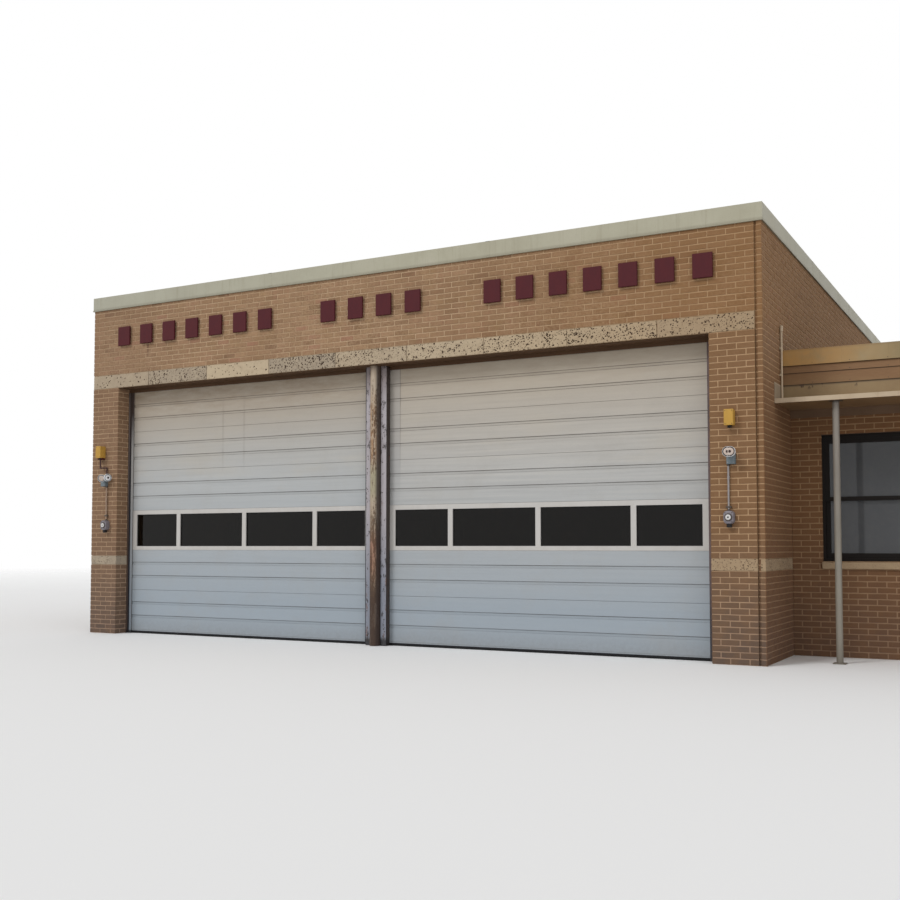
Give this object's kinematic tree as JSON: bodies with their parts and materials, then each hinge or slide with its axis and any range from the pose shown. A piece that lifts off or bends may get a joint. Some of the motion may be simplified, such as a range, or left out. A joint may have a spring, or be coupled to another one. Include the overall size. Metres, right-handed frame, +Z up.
{
  "type": "fire station building",
  "caption": "Single-storey brick fire station with a flat-roofed engine bay, sectional overhead doors, a stone band and a lower wing with a canopy.",
  "frame": {"origin": "middle of the building's overall length and depth, on the ground", "axes": "+X along the front towards the lower wing, +Y from the front to the rear, +Z up"},
  "size_m": [16.7596, 12.3924, 5.21],
  "materials": {
    "brick": "fired clay brick with sand mortar",
    "cast_stone": "pitted cast stone",
    "concrete": "trowelled concrete",
    "roofing": "granular roofing",
    "edge_metal": "weathered satin paint",
    "brown_board": "painted board",
    "canopy_paint": "weathered satin paint",
    "door_paint": "satin enamel",
    "door_aluminium": "satin",
    "clear_glass": "polished",
    "seal_rubber": "matte",
    "galvanised": "dull zinc",
    "rusty_pipe": "worn paint and rust",
    "dark_steel": "worn dark paint",
    "maroon_paint": "satin enamel",
    "yellow_paint": "satin enamel",
    "lamp_body": "satin",
    "grey_cast": "satin",
    "bronze_frame": "dark anodised"
  },
  "bodies": {
    "root": {"alarm_boxes": "yellow_paint", "bay_floor": "concrete", "bay_roof": "roofing", "bay_roof_edge": "edge_metal", "canopy_posts": "canopy_paint", "canopy_slab": "canopy_paint", "centre_column": "rusty_pipe", "centre_jamb": "dark_steel", "centre_post": "dark_steel", "door_lintel": "dark_steel", "door_seals": "seal_rubber", "door_tracks": "galvanised", "key_switches": "grey_cast", "lamp_conduits": "galvanised", "left_door_glass": "clear_glass", "left_door_sections": "door_paint", "left_door_window_section": "door_aluminium", "left_pier": "brick", "left_wall": "brick", "pier_jambs": "dark_steel", "pier_stones": "cast_stone", "rear_wall": "brick", "right_door_glass": "clear_glass", "right_door_sections": "door_paint", "right_door_window_section": "door_aluminium", "right_pier": "brick", "right_wall": "brick", "service_conduit": "galvanised", "sign_tablets": "maroon_paint", "soffit_trim": "brown_board", "stone_band": "cast_stone", "stone_course": "cast_stone", "upper_front_wall": "brick", "wall_lamps": "lamp_body", "window_frames": "bronze_frame", "window_glass": "clear_glass", "window_sills": "cast_stone", "wing_coping": "edge_metal", "wing_end_wall": "brick", "wing_floor": "concrete", "wing_frieze": "edge_metal", "wing_front_wall": "brick", "wing_rear_wall": "brick", "wing_roof": "roofing", "wing_siding": "brown_board"}
  },
  "joints": []
}
